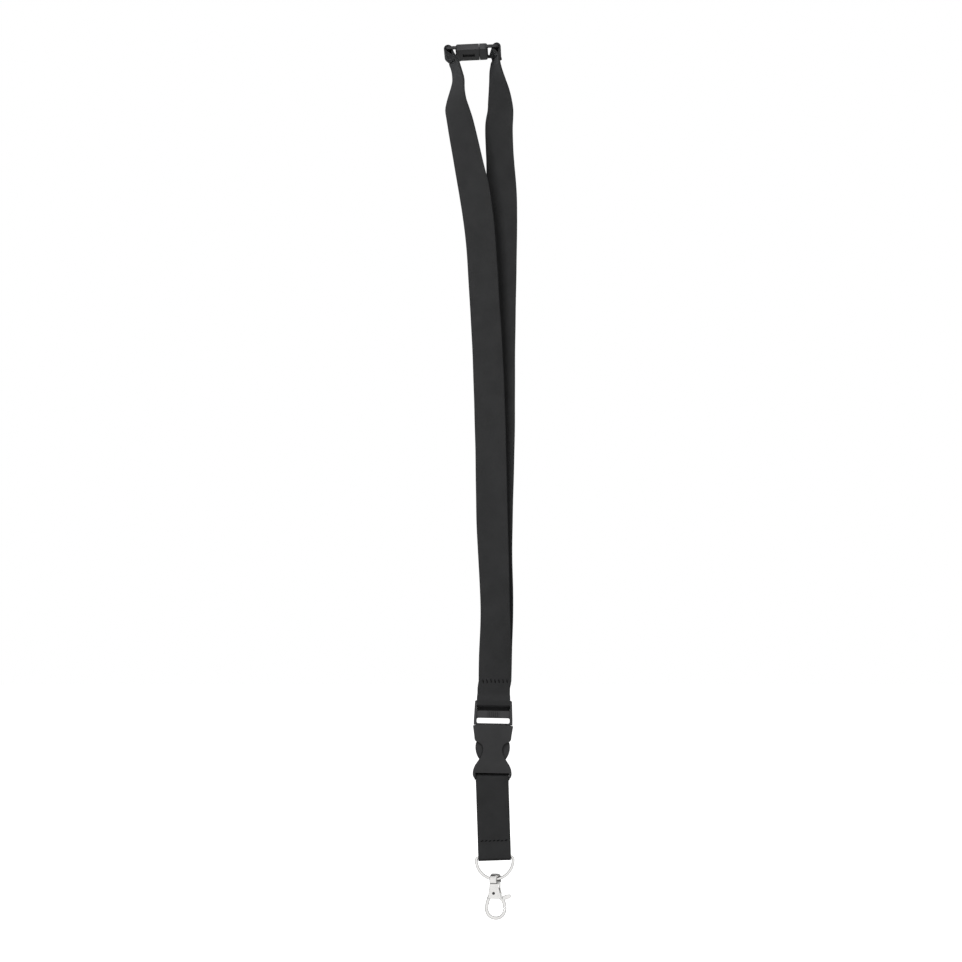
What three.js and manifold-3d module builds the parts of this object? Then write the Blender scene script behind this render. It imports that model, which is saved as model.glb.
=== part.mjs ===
// A neck lanyard: a 20 mm webbing strap on a pull-apart safety clasp, a side-release buckle,
// a short tail strap, a D-ring and a swivelling trigger hook. Millimetres, +Z up.
// The lanyard hangs from its clasp. The origin is the point it hangs from, under the clasp.
// +X is to the right and -Y towards the person who looks at its front.
import * as THREE from 'three';
import { mergeVertices } from 'three/addons/utils/BufferGeometryUtils.js';
import Module from 'manifold-3d';

const wasm = await Module();
wasm.setup();

// ---- driving dimensions ----
const GAP = 0.3; // clearance between pieces that touch on the real object
const LAYER_GAP = 0.15; // between two layers of webbing

const strap = {
  width: 20,
  thick: 1.1,
  flapLeft: 8.3, // from the ring bar to the cut end of the fold-back
  flapRight: 7.1,
  slackRight: 0.15, // room between the right ring's bar and the layer on its inner side
  skewRight: 0.36, // how far that layer has turned towards the leg's lie at the bar, as a share
};
const slotWidth = strap.width + 0.6; // every slot that the webbing passes through
const slotHalf = slotWidth / 2;
const layerStep = strap.thick + LAYER_GAP; // middle to middle of two layers that lie together
// from the middle of a bar to the middle of the webbing round it
const wrapRadius = (wide, thick = 0) => Math.hypot(wide, thick) / 2 + LAYER_GAP + strap.thick / 2;

const clasp = {
  centre: [0, 0, 4.2],
  rise: 2.6, // degrees, right end up
  tip: 12.2, // degrees, near side up
  yaw: -0.6,
  width: 23,
  thick: 4,
  corner: 1.2,
  ringCorner: 1.6,
  femaleLeft: -9.6,
  parting: 4.4,
  collarRight: 9.4,
  barLeft: -14.5, // middle of the left ring bar
  barRight: 15.2,
  bar: 2,
  ringWidth: slotWidth + 2 * 1.8, // with a rail on each side
  ringThick: 1.8,
  cavityLeft: -7.6,
  cavityWidth: 17,
  cavityHigh: 2.2,
  windowLeft: -5.8,
  windowRight: 1.6,
  windowWidth: 6,
  prongWidth: 3,
  tongueWidth: 5.2,
  tongueThick: 1.1,
};

const buckle = {
  parting: [12.92, 0, -408], // middle of the joint line between male and female
  lean: 1.08, // degrees, top to the right
  frameTop: 14.4,
  frameHalfTop: slotHalf + 1.1,
  frameHalf: slotHalf + 1.6,
  frameThick: 4,
  topBar: 2.1, // height and thickness of the bar that the neck strap goes round
  crossTop: 8.15,
  crossBottom: 3.65,
  crossThick: 2.6,
  ribs: 6,
  ribPitch: 1.25,
  ribWidth: 0.6,
  ribHigh: 0.4,
  baseTop: 0.35,
  thick: 7.6,
  half: slotHalf + 1.95,
  shoulderHalf: slotHalf + 0.85,
  shoulder: -10.1,
  waistHalf: slotHalf - 4.3,
  waist: -16.3,
  neckHalf: slotHalf - 2,
  neck: -22,
  hipHalf: slotHalf + 1.65,
  hip: -30,
  length: 34.3,
  wall: 1.3,
  slotTop: -29.9,
  lipFoot: -31.6, // lower edge of the lip behind the slot
  lip: 0.85,
  endBar: 2.4,
  armRoot: slotHalf - 1.9,
  armThick: 1.7,
  bumpHalf: slotHalf + 0.35,
  armEnd: -22.4,
  guideHalf: 1.5,
  guideEnd: -19,
};

const tail = {
  lean: 1.84, // degrees, lower end to the right
  length: 48.6, // from the buckle's end bar to the D-ring's bar
  seam: 10.9, // thread row above the D-ring's bar
  overlap: 4, // webbing past the thread row
};

const ringWire = 1.8;
const dRing = {
  wire: ringWire,
  outer: strap.width + 2 * ringWire + 0.8,
  drop: 13.4, // from the middle of the bar to the middle of the wire at the bottom
};

const eye = {
  width: 8.6,
  wall: 1.8,
  thick: 4.6,
  top: 2,
  base: 1.2,
  rise: 0.25, // extra room over the D-ring's wire, which curves up on both sides
  turn: 64, // degrees between the eye and the D-ring
  post: 1.8,
  postLength: 3.8,
  head: 2.5,
  headHigh: 0.8,
};

const hook = {
  thick: 4,
  cheek: 0.95,
  wire: 2.1,
  head: 6.9, // width of the body at the collar
  pin: 1.6,
  pinDrop: 6, // from the collar to the gate's pin
  pinLeft: -1.1,
  lapInner: 11.1, // distance from the pin at which the gate's end and the nose start to lap
  lapOuter: 12.6,
  lapAngle: 32.5, // degrees from straight down
  gateThick: 1.5,
  collar: 1.2,
};

const spring = { left: -2.6, right: 0.5, height: -8.45, radius: 0.65, wire: 0.28, turns: 4 };

// ---- looks ----
const look = (color, roughness, metalness) =>
  new THREE.MeshStandardMaterial({ color, roughness, metalness });
const webbingLook = look(0x2e2f30, 0.9, 0);
const threadLook = look(0x1c1c1d, 0.85, 0);
const plasticLook = look(0x2b2b2c, 0.45, 0);
const metalLook = look(0xd8d8d6, 0.22, 1);

// ---- helpers ----
const rad = THREE.MathUtils.degToRad;
const lanyard = new THREE.Group();

function solidOf(geometry) {
  const bare = geometry.index ? geometry.toNonIndexed() : geometry.clone();
  bare.deleteAttribute('normal');
  bare.deleteAttribute('uv');
  const merged = mergeVertices(bare, 1e-4);
  return new wasm.Manifold(
    new wasm.Mesh({
      numProp: 3,
      vertProperties: new Float32Array(merged.attributes.position.array),
      triVerts: new Uint32Array(merged.index.array),
    }),
  );
}

function geometryOf(solid) {
  const mesh = solid.getMesh();
  const geometry = new THREE.BufferGeometry();
  geometry.setAttribute('position', new THREE.BufferAttribute(mesh.vertProperties, 3));
  geometry.setIndex(new THREE.BufferAttribute(mesh.triVerts, 1));
  return geometry;
}

// A closed surface of points and triangles, with its faces turned out.
function closedGeometry(points, triangles) {
  const geometry = new THREE.BufferGeometry();
  geometry.setAttribute('position', new THREE.Float32BufferAttribute(points, 3));
  geometry.setIndex(triangles);
  if (solidOf(geometry).volume() < 0) {
    geometry.index.array.reverse();
  }
  return geometry;
}

function place(parent, name, shape, material) {
  const geometry = shape.isBufferGeometry ? shape : geometryOf(shape);
  const mesh = new THREE.Mesh(geometry, material);
  mesh.name = name;
  parent.add(mesh);
  return mesh;
}

// A block between two corners.
function block(low, high) {
  const [x, y, z] = high.map((h, i) => h - low[i]);
  const box = new THREE.BoxGeometry(x, y, z);
  box.translate(low[0] + x / 2, low[1] + y / 2, low[2] + z / 2);
  return solidOf(box);
}

// An outline in the X-Z plane, given thickness along Y about y = 0, with its edges eased by bevel.
function plate(outline, thick, bevel = 0) {
  const geometry = new THREE.ExtrudeGeometry(outline, {
    depth: thick - 2 * bevel,
    bevelEnabled: bevel > 0,
    bevelThickness: bevel,
    bevelSize: bevel,
    bevelOffset: -bevel,
    bevelSegments: 2,
    curveSegments: 8,
  });
  geometry.translate(0, 0, -(thick - 2 * bevel) / 2);
  geometry.rotateX(Math.PI / 2);
  return solidOf(geometry);
}

function roundedOutline(left, right, bottom, top, radius) {
  const shape = new THREE.Shape();
  shape.moveTo(left + radius, bottom);
  shape.lineTo(right - radius, bottom);
  shape.absarc(right - radius, bottom + radius, radius, -Math.PI / 2, 0);
  shape.lineTo(right, top - radius);
  shape.absarc(right - radius, top - radius, radius, 0, Math.PI / 2);
  shape.lineTo(left + radius, top);
  shape.absarc(left + radius, top - radius, radius, Math.PI / 2, Math.PI);
  shape.lineTo(left, bottom + radius);
  shape.absarc(left + radius, bottom + radius, radius, Math.PI, 1.5 * Math.PI);
  return shape;
}

// A round bar from one point to another, both in one plane through an axis of the part.
function rod(from, to, radius, sides = 16) {
  const a = new THREE.Vector3(...from);
  const b = new THREE.Vector3(...to);
  const geometry = new THREE.CylinderGeometry(radius, radius, a.distanceTo(b), sides);
  const turn = new THREE.Quaternion().setFromUnitVectors(
    new THREE.Vector3(0, 1, 0),
    b.clone().sub(a).normalize(),
  );
  geometry.applyQuaternion(turn);
  const middle = a.add(b).multiplyScalar(0.5);
  geometry.translate(middle.x, middle.y, middle.z);
  return solidOf(geometry);
}

function disc(radius, sides = 10) {
  const shape = new THREE.Shape();
  shape.absarc(0, 0, radius, 0, 2 * Math.PI, false);
  return new THREE.Shape(shape.getPoints(sides).slice(0, -1));
}

function tube(curve, radius, steps, sides = 10) {
  const geometry = new THREE.ExtrudeGeometry(disc(radius, sides), {
    steps,
    extrudePath: curve,
    bevelEnabled: false,
  });
  return solidOf(geometry);
}

// A smooth curve through rows of numbers: row i is met at t = i.
function through(rows, t) {
  const last = rows.length - 1;
  const i = Math.min(Math.floor(t), last - 1);
  const u = t - i;
  const [a, b, c, d] = [i - 1, i, i + 1, i + 2].map((n) => rows[Math.min(Math.max(n, 0), last)]);
  return b.map((_, k) => {
    const start = (c[k] - a[k]) / 2;
    const end = (d[k] - b[k]) / 2;
    const rise = c[k] - b[k];
    return b[k] + start * u + (3 * rise - 2 * start - end) * u * u + (start + end - 2 * rise) * u ** 3;
  });
}

// ---- webbing ----
// A stretch of webbing is a list of stations: the middle of its section and the direction of its
// width, which points to the edge that is on the right where the face is seen from the front.
const station = (point, across) => ({ point, across: across.clone().normalize() });

function widthAt(turn, tip) {
  const t = rad(turn);
  return new THREE.Vector3(Math.cos(t), -Math.sin(t) * Math.cos(rad(tip)), Math.sin(t) * Math.sin(rad(tip)));
}

// The face direction of each station: square to the route and to the width.
function facesOf(stations) {
  return stations.map((s, i) => {
    const before = stations[Math.max(i - 1, 0)].point;
    const after = stations[Math.min(i + 1, stations.length - 1)].point;
    return after.clone().sub(before).cross(s.across).normalize();
  });
}

function ribbon(stations) {
  const faces = facesOf(stations);
  const corners = [];
  const triangles = [];
  stations.forEach((s, i) => {
    for (const [side, face] of [[-1, -1], [1, -1], [1, 1], [-1, 1]]) {
      const p = s.point.clone();
      p.addScaledVector(s.across, (side * strap.width) / 2);
      p.addScaledVector(faces[i], (face * strap.thick) / 2);
      corners.push(p.x, p.y, p.z);
    }
  });
  const quad = (a, b, c, d) => triangles.push(a, b, c, a, c, d);
  for (let i = 0; i + 1 < stations.length; i++) {
    const k = 4 * i;
    quad(k, k + 1, k + 5, k + 4);
    quad(k + 1, k + 2, k + 6, k + 5);
    triangles.push(k + 2, k + 3, k + 6, k + 3, k + 7, k + 6);
    quad(k + 3, k, k + 4, k + 7);
  }
  const end = 4 * (stations.length - 1);
  quad(3, 2, 1, 0);
  quad(end, end + 1, end + 2, end + 3);
  return closedGeometry(corners, triangles);
}

// A row of thread that lies across the webbing on its face at one station.
function threadRow(stations, index, side) {
  const faces = facesOf(stations);
  const s = stations[index];
  const half = strap.width / 2 - 1.5;
  const high = 0.3;
  const row = new THREE.BoxGeometry(2 * half, 0.8, high);
  const down = faces[index].clone().cross(s.across);
  const basis = new THREE.Matrix4().makeBasis(s.across, down, faces[index]);
  const lift = strap.thick / 2 + GAP + high / 2;
  const middle = s.point.clone().addScaledVector(faces[index], side * lift);
  row.applyMatrix4(basis.setPosition(middle));
  return row;
}

// ---- clasp ----
const claspGroup = new THREE.Group();
claspGroup.position.set(...clasp.centre);
claspGroup.rotation.set(-rad(clasp.tip), -rad(clasp.rise), rad(clasp.yaw), 'ZYX');
claspGroup.updateMatrixWorld(true);
lanyard.add(claspGroup);

// Everything in the clasp is drawn in plan, with X along the clasp and Y across it.
const flat = (solid) => solid.rotate([-90, 0, 0]);

function claspRing(inner, barMiddle) {
  const out = Math.sign(barMiddle);
  const outer = barMiddle + (out * clasp.bar) / 2;
  const half = clasp.ringWidth / 2;
  const [left, right] = out < 0 ? [outer, inner + 1] : [inner - 1, outer];
  const frame = plate(roundedOutline(left, right, -half, half, clasp.ringCorner), clasp.ringThick, 0.5);
  const barInner = barMiddle - (out * clasp.bar) / 2;
  const slotInner = inner + out * 0.4;
  const [slotLeft, slotRight] = out < 0 ? [barInner, slotInner] : [slotInner, barInner];
  const slot = plate(
    roundedOutline(slotLeft, slotRight, -slotWidth / 2, slotWidth / 2, 0.6),
    clasp.ringThick + 2,
  );
  return flat(frame.subtract(slot));
}

// The part of the clasp's outer body that lies between two distances along it.
function claspShell(left, right) {
  const half = clasp.width / 2;
  const outline = roundedOutline(clasp.femaleLeft, clasp.collarRight, -half, half, clasp.corner);
  const body = flat(plate(outline, clasp.thick, 0.6));
  return body.intersect(block([left, -clasp.width, -clasp.thick], [right, clasp.width, clasp.thick]));
}

const femaleShell = claspShell(clasp.femaleLeft, clasp.parting)
  .subtract(
    block(
      [clasp.cavityLeft, -clasp.cavityWidth / 2, -clasp.cavityHigh / 2],
      [clasp.parting + 1, clasp.cavityWidth / 2, clasp.cavityHigh / 2],
    ),
  )
  .subtract(
    block(
      [clasp.windowLeft, -clasp.windowWidth / 2, -clasp.thick],
      [clasp.windowRight, clasp.windowWidth / 2, clasp.thick],
    ),
  )
  .add(claspRing(clasp.femaleLeft, clasp.barLeft));
place(claspGroup, 'clasp_female_housing', femaleShell, plasticLook);

const collarLeft = clasp.parting + GAP;
const prongHigh = clasp.cavityHigh / 2 - GAP;
const prongOut = clasp.cavityWidth / 2 - GAP;
const pocketRight = clasp.collarRight - 1.8;
const stepHalf = clasp.width / 2 - 0.8;
const stepHigh = clasp.thick / 2 - 0.6;
let malePlug = claspShell(collarLeft, clasp.collarRight)
  .add(claspRing(clasp.collarRight, clasp.barRight))
  .add(block([clasp.parting + 0.1, -stepHalf, -stepHigh], [collarLeft + 1, stepHalf, stepHigh]));
malePlug = malePlug.subtract(
  block(
    [collarLeft - 1, -clasp.tongueWidth / 2 - GAP, -clasp.tongueThick / 2 - GAP],
    [pocketRight, clasp.tongueWidth / 2 + GAP, clasp.tongueThick / 2 + GAP],
  ),
);
for (const side of [-1, 1]) {
  const edges = [side * prongOut, side * (prongOut - clasp.prongWidth)].sort((a, b) => a - b);
  malePlug = malePlug.add(
    block([clasp.cavityLeft + 1, edges[0], -prongHigh], [collarLeft + 1, edges[1], prongHigh]),
  );
}
place(claspGroup, 'clasp_male_plug', malePlug, plasticLook);

const nubHalf = clasp.windowWidth / 2 - GAP;
const tongue = block(
  [clasp.cavityLeft + 0.8, -clasp.tongueWidth / 2, -clasp.tongueThick / 2],
  [pocketRight - GAP, clasp.tongueWidth / 2, clasp.tongueThick / 2],
).add(
  block(
    [clasp.windowLeft + 0.5, -nubHalf + 0.1, -clasp.thick / 2 + 0.7],
    [clasp.windowRight - 0.5, nubHalf - 0.1, 0],
  ),
);
place(claspGroup, 'clasp_latch_tongue', tongue, plasticLook);

// ---- buckle ----
const buckleGroup = new THREE.Group();
buckleGroup.position.set(...buckle.parting);
buckleGroup.rotation.y = rad(buckle.lean);
buckleGroup.updateMatrixWorld(true);
lanyard.add(buckleGroup);

function maleFrame() {
  const { frameTop, frameHalfTop, frameHalf, baseTop, frameThick } = buckle;
  const outline = new THREE.Shape();
  outline.moveTo(-frameHalf, baseTop - 3);
  outline.lineTo(frameHalf, baseTop - 3);
  outline.lineTo(frameHalf, baseTop + 2);
  outline.lineTo(frameHalfTop, frameTop - 1);
  outline.quadraticCurveTo(frameHalfTop - 0.1, frameTop, frameHalfTop - 1.1, frameTop);
  outline.lineTo(-frameHalfTop + 1.1, frameTop);
  outline.quadraticCurveTo(-frameHalfTop + 0.1, frameTop, -frameHalfTop, frameTop - 1);
  outline.lineTo(-frameHalf, baseTop + 2);
  outline.lineTo(-frameHalf, baseTop - 3);
  let frame = plate(outline, frameThick, 0.5);
  const half = slotWidth / 2;
  const cut = frameThick;
  frame = frame.subtract(block([-half, -cut, buckle.crossTop], [half, cut, frameTop - buckle.topBar]));
  const window = half - 0.2;
  const lower = plate(roundedOutline(-window, window, baseTop, buckle.crossBottom, 1), 2 * cut);
  frame = frame.subtract(lower);
  // the bars are thinner than the side rails
  for (const [low, high, thick] of [
    [frameTop - buckle.topBar, frameTop + 1, buckle.topBar],
    [buckle.crossBottom, buckle.crossTop, buckle.crossThick],
  ]) {
    for (const side of [-1, 1]) {
      const faces = [(side * thick) / 2, side * cut].sort((a, b) => a - b);
      frame = frame.subtract(block([-half, faces[0], low], [half, faces[1], high]));
    }
  }
  for (let i = 0; i < buckle.ribs; i++) {
    const x = (i - (buckle.ribs - 1) / 2) * buckle.ribPitch;
    const front = -buckle.crossThick / 2;
    frame = frame.add(
      block(
        [x - buckle.ribWidth / 2, front - buckle.ribHigh, buckle.crossBottom + 0.3],
        [x + buckle.ribWidth / 2, front + 0.2, buckle.crossTop - 0.3],
      ),
    );
  }
  // the base fits inside the mouth of the female, below its joint line
  const inside = buckle.half - buckle.wall - GAP;
  const thickInside = buckle.thick / 2 - buckle.wall - GAP;
  frame = frame.subtract(block([-half, -cut, baseTop - 4], [half, cut, 0.1]));
  frame = frame.subtract(block([-20, -cut, baseTop - 4], [20, cut, -0.55]));
  frame = frame.add(block([-inside, -thickInside, -3], [inside, thickInside, baseTop - 0.05]));
  const guide = block(
    [-buckle.guideHalf, -buckle.armThick / 2, buckle.guideEnd],
    [buckle.guideHalf, buckle.armThick / 2, -2.9],
  );
  return frame.add(guide);
}
place(buckleGroup, 'buckle_male_frame', maleFrame(), plasticLook);

// A latch arm: a springy leg that widens to the bump pressed by a finger, with the latch step on top.
function latchArm(side) {
  const inner = buckle.armRoot - buckle.armThick;
  const shape = new THREE.Shape();
  shape.moveTo(side * inner, -3 - GAP);
  shape.lineTo(side * buckle.armRoot, -3 - GAP);
  shape.lineTo(side * (buckle.armRoot + 0.1), buckle.shoulder - 0.9);
  shape.lineTo(side * (buckle.bumpHalf - 0.5), buckle.shoulder - 1.1);
  shape.bezierCurveTo(
    side * (buckle.bumpHalf + 0.4), buckle.shoulder - 3.6,
    side * (buckle.bumpHalf + 0.1), buckle.shoulder - 8,
    side * (buckle.neckHalf - 0.1), buckle.armEnd + 0.9,
  );
  shape.lineTo(side * (buckle.neckHalf - 2.1), buckle.armEnd);
  shape.lineTo(side * (buckle.waistHalf - 0.7), buckle.neck + 3);
  shape.lineTo(side * (buckle.waistHalf - 0.9), buckle.shoulder - 3);
  shape.lineTo(side * inner, -3 - GAP);
  const thick = buckle.thick - 2 * (buckle.wall + GAP);
  return plate(shape, thick);
}
place(buckleGroup, 'buckle_latch_arm_left', latchArm(-1), plasticLook);
place(buckleGroup, 'buckle_latch_arm_right', latchArm(1), plasticLook);

function femaleHousing() {
  const b = buckle;
  const shape = new THREE.Shape();
  shape.moveTo(b.half - 0.1, -1.1);
  shape.quadraticCurveTo(0, 1.1, -b.half + 0.1, -1.1);
  for (const side of [-1, 1]) {
    const points = [
      [b.half, -1.6],
      [b.shoulderHalf + 0.3, b.shoulder + 3],
      [b.shoulderHalf, b.shoulder + 0.6],
      [b.shoulderHalf - 1.2, b.shoulder - 0.8],
      [b.waistHalf + 1.6, b.shoulder - 1.9],
      [b.waistHalf + 0.2, b.shoulder - 3.9],
      [b.waistHalf, b.waist],
      [b.waistHalf + 0.7, b.neck + 3],
      [b.neckHalf, b.neck],
      [b.neckHalf + 2, b.neck - 3],
      [b.hipHalf - 0.5, b.hip + 2.6],
      [b.hipHalf, b.hip],
      [b.hipHalf - 0.2, b.hip - 1.8],
      [b.hipHalf - 1.1, b.hip - 3.3],
      [b.hipHalf - 2.8, -b.length],
    ];
    const route = side < 0 ? points : points.reverse();
    for (let i = 0; i <= 2 * (route.length - 1); i++) {
      const [x, z] = through(route, i / 2);
      shape.lineTo(side * x, z);
    }
  }
  let body = plate(shape, b.thick, 0.4);
  // the hollow for the base, the arms and the guide, open at the mouth
  const inside = b.thick / 2 - b.wall;
  const mouth = b.half - b.wall;
  const hollow = new THREE.Shape();
  hollow.moveTo(-mouth, 3);
  hollow.lineTo(-mouth, -3.2);
  hollow.lineTo(-b.shoulderHalf + b.wall, b.shoulder);
  hollow.lineTo(-b.half, b.shoulder);
  hollow.lineTo(-b.half, b.neck + 0.4);
  hollow.lineTo(-b.neckHalf + 0.4, b.neck);
  hollow.lineTo(-b.neckHalf + 1.6, b.neck - 2.2);
  hollow.lineTo(b.neckHalf - 1.6, b.neck - 2.2);
  hollow.lineTo(b.neckHalf - 0.4, b.neck);
  hollow.lineTo(b.half, b.neck + 0.4);
  hollow.lineTo(b.half, b.shoulder);
  hollow.lineTo(b.shoulderHalf - b.wall, b.shoulder);
  hollow.lineTo(mouth, -3.2);
  hollow.lineTo(mouth, 3);
  hollow.lineTo(-mouth, 3);
  body = body.subtract(plate(hollow, 2 * inside));
  // the slot and the end bar for the tail strap
  const half = slotWidth / 2;
  body = body.subtract(block([-half, -b.thick, -b.length - 1], [half, b.thick, b.lipFoot]));
  body = body.subtract(block([-half, -b.thick, b.lipFoot - 1], [half, b.thick / 2 - b.lip, b.slotTop]));
  const barHeight = b.endBar / 2 - b.length;
  return body.add(rod([-half - 0.5, 0, barHeight], [half + 0.5, 0, barHeight], b.endBar / 2));
}
place(buckleGroup, 'buckle_female_housing', femaleHousing(), plasticLook);

// ---- neck strap ----
const leftBar = new THREE.Vector3(clasp.barLeft, 0, 0).applyMatrix4(claspGroup.matrixWorld);
const rightBar = new THREE.Vector3(clasp.barRight, 0, 0).applyMatrix4(claspGroup.matrixWorld);
const ringAcross = new THREE.Vector3(0, -1, 0).transformDirection(claspGroup.matrixWorld);

// The free-lying route of each leg, from the cut end of its fold-back down to the thread row above
// the buckle: x, y, z, the turn of its face away from the front and the tip of its near edge.
const frontRoute = [
  [-10.2, -1.6, -3, 75, 5],
  [-9.3, -2, -7, 74, 3],
  [-8.4, -2.2, -13, 70, 1],
  [-9, -2.4, -19, 65, 0],
  [-9.4, -2.7, -25.2, 55, 0],
  [-8.9, -3, -31.3, 42, 0],
  [-7.5, -3.2, -37.4, 37, 0],
  [-5, -3.6, -49.7, 32, 0],
  [-2.5, -3.8, -62, 27, 0],
  [1.7, -3.9, -83.4, 18, 0],
  [5.2, -3.9, -111, 25, 0],
  [7.6, -3.6, -147.9, 26, 0],
  [9.7, -3.2, -184.7, 23, 0],
  [11.3, -2.6, -233.7, 21, 0],
  [12.3, -2.4, -282.8, 18, 0],
  [13.7, -2.6, -319.6, 25, 0],
  [14.3, -2.4, -344.2, 26, 0],
  [14.2, -1.2, -366, 9, 0],
  [14.1, -layerStep / 2, -381.6, 0, 0],
];
const backRoute = [
  [14.8, -1.4, -2.4, 76, 6],
  [14.7, -1.2, -6.8, 70, 3],
  [15.5, -0.8, -12.9, 62, 1],
  [16.5, -0.2, -19, 53, 0],
  [17.1, 0.3, -25.2, 45, 0],
  [17.4, 0.8, -31.3, 39, 0],
  [16.8, 1.1, -37.4, 34, 0],
  [16.5, 1.3, -43.6, 34, 0],
  [16.9, 1.6, -55.8, 34, 0],
  [17.4, 1.8, -65, 32, 0],
  [18.3, 2, -86.5, 23, 0],
  [18.1, 2, -111, 20, 0],
  [17.4, 1.9, -147.9, 19, 0],
  [16.9, 1.8, -184.7, 19, 0],
  [16.6, 1.7, -233.7, 18, 0],
  [15.3, 1.6, -282.8, 17, 0],
  [15.2, 1.6, -307.4, 19, 0],
  [15.8, 1.8, -331.9, 19, 0],
  [14.6, 1.1, -362.6, 7, 0],
  [14.1, layerStep / 2, -381.6, 0, 0],
];
const perStretch = 3; // stations for each stretch of a route

function alongRoute(route) {
  const stations = [];
  for (let i = 1; i <= (route.length - 1) * perStretch; i++) {
    const [x, y, z, turn, tip] = through(route, i / perStretch);
    stations.push(station(new THREE.Vector3(x, y, z), widthAt(turn, tip)));
  }
  return stations;
}

// The fold-back at a ring: from its cut end up the right side of the flap, over the bar, and down the
// left side to the start of the free-lying route. The flap's middle line runs from the bar to the cut
// end. Skew is how far the layer on the left has turned at the bar, where it stands off by as much as
// that moves its ends, and by slack.
function foldBack(bar, route, flap, slack, skew) {
  const [x, y, z, turn, tip] = route[0];
  const end = new THREE.Vector3(x, y, z);
  const endAcross = widthAt(turn, tip);
  const along = end.clone().sub(bar).normalize();
  const cut = bar.clone().addScaledVector(along, flap);
  const radius = wrapRadius(clasp.bar, clasp.ringThick);
  const closed = layerStep / 2;
  const acrossAt = (share) => ringAcross.clone().lerp(endAcross, share).normalize();
  const standOff = slack + (strap.width / 2) * ringAcross.clone().cross(acrossAt(skew)).length();
  const room = (side) => (side < 0 ? radius + standOff : radius);
  const layer = (t, side) => {
    const start = side < 0 ? skew : 0;
    const across = acrossAt(THREE.MathUtils.lerp(start, 1, THREE.MathUtils.smoothstep(t, 0.12, 1)));
    const face = across.clone().cross(along).normalize();
    const spread = THREE.MathUtils.lerp(room(side), closed, THREE.MathUtils.smoothstep(t, 0.02, 0.62));
    return station(bar.clone().lerp(cut, t).addScaledVector(face, side * spread), across);
  };
  const stations = [];
  for (const t of [1, 0.85, 0.7, 0.55, 0.4, 0.25, 0.12, 0]) {
    stations.push(layer(t, 1));
  }
  const face = ringAcross.clone().cross(along).normalize();
  for (let i = 1; i < 6; i++) {
    const turnBack = (Math.PI * i) / 6;
    const out = Math.cos(turnBack);
    const point = bar.clone().addScaledVector(face, room(out) * out);
    point.addScaledVector(along, -radius * Math.sin(turnBack));
    stations.push(station(point, acrossAt(skew * Math.max(0, -out))));
  }
  for (const t of [0, 0.12, 0.25, 0.4, 0.55, 0.7, 0.85, 1]) {
    stations.push(layer(t, -1));
  }
  return stations;
}

// After the cut end the single layer moves back to the middle line over the next stretch.
function leg(bar, route, flap, slack = 0, skew = 0) {
  const fold = foldBack(bar, route, flap, slack, skew);
  const last = fold[fold.length - 1];
  const [x, y, z] = route[0];
  const offset = last.point.clone().sub(new THREE.Vector3(x, y, z));
  const moved = route.map((row, i) => {
    const share = i === 0 ? 1 : i === 1 ? 0.4 : 0;
    return [row[0] + offset.x * share, row[1] + offset.y * share, row[2] + offset.z * share, row[3], row[4]];
  });
  return { fold, stations: [...fold, ...alongRoute(moved)] };
}

// The loop round the buckle's top bar, as y and z in the buckle's own frame: down in front of the bar,
// slack under it, and up behind it.
const barFront = wrapRadius(buckle.topBar);
const barFoot = buckle.frameTop - buckle.topBar;
const legSide = layerStep / 2 + 0.025;
const under = strap.thick / 2 + GAP; // from the foot of the bar to the middle of the webbing below it
const loopFront = [
  [-legSide, 22],
  [-legSide - 0.05, 18.5],
  [-legSide - 0.6, 16.2],
  [-barFront, buckle.frameTop],
  [-barFront, barFoot + 0.2],
  [-buckle.topBar / 2 - 0.6 * under, barFoot - 0.75 * under],
  [-0.3, barFoot - under - 0.2],
  [0.9, barFoot - under - 0.7],
  [2.1, barFoot - 3.2],
  [2.7, barFoot - 5],
  [3.6, barFoot - 5.7],
  [4.5, barFoot - 4.8],
  [4.4, barFoot - 2.4],
  [3.4, barFoot + 1],
  [2.2, 15.6],
  [1.4, 17],
];
const loopBack = [
  [legSide + 0.45, 17.8],
  [legSide + 0.05, 19.5],
  [legSide, 22],
];

function alongLoop(rows, perRow) {
  const stations = [];
  for (let i = 0; i <= (rows.length - 1) * perRow; i++) {
    const [y, z] = through(rows, i / perRow);
    const point = new THREE.Vector3(0, y, z).applyMatrix4(buckleGroup.matrixWorld);
    stations.push(station(point, new THREE.Vector3(1, 0, 0).transformDirection(buckleGroup.matrixWorld)));
  }
  return stations;
}

const front = leg(leftBar, frontRoute, strap.flapLeft);
const frontStations = [...front.stations, ...alongLoop(loopFront, 2)];
place(lanyard, 'neck_strap_front', ribbon(frontStations), webbingLook);

const back = leg(rightBar, backRoute, strap.flapRight, strap.slackRight, strap.skewRight);
const backStations = [...back.stations, ...alongLoop(loopBack, 2).reverse()];
place(lanyard, 'neck_strap_back', ribbon(backStations), webbingLook);

// thread rows of the neck strap
const foldSeam = (fold) => fold.length - 3; // on the layer that goes on into the leg
place(lanyard, 'stitch_row_clasp_left', threadRow(front.fold, foldSeam(front.fold), 1), threadLook);
place(lanyard, 'stitch_row_clasp_right', threadRow(back.fold, foldSeam(back.fold), 1), threadLook);
place(lanyard, 'stitch_row_buckle', threadRow(frontStations, front.stations.length - 1, 1), threadLook);

// ---- tail strap ----
const tailGroup = new THREE.Group();
const endBarZ = buckle.endBar / 2 - buckle.length;
tailGroup.position.copy(new THREE.Vector3(0, 0, endBarZ).applyMatrix4(buckleGroup.matrixWorld));
tailGroup.rotation.y = -rad(tail.lean);
tailGroup.updateMatrixWorld(true);
lanyard.add(tailGroup);

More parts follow.
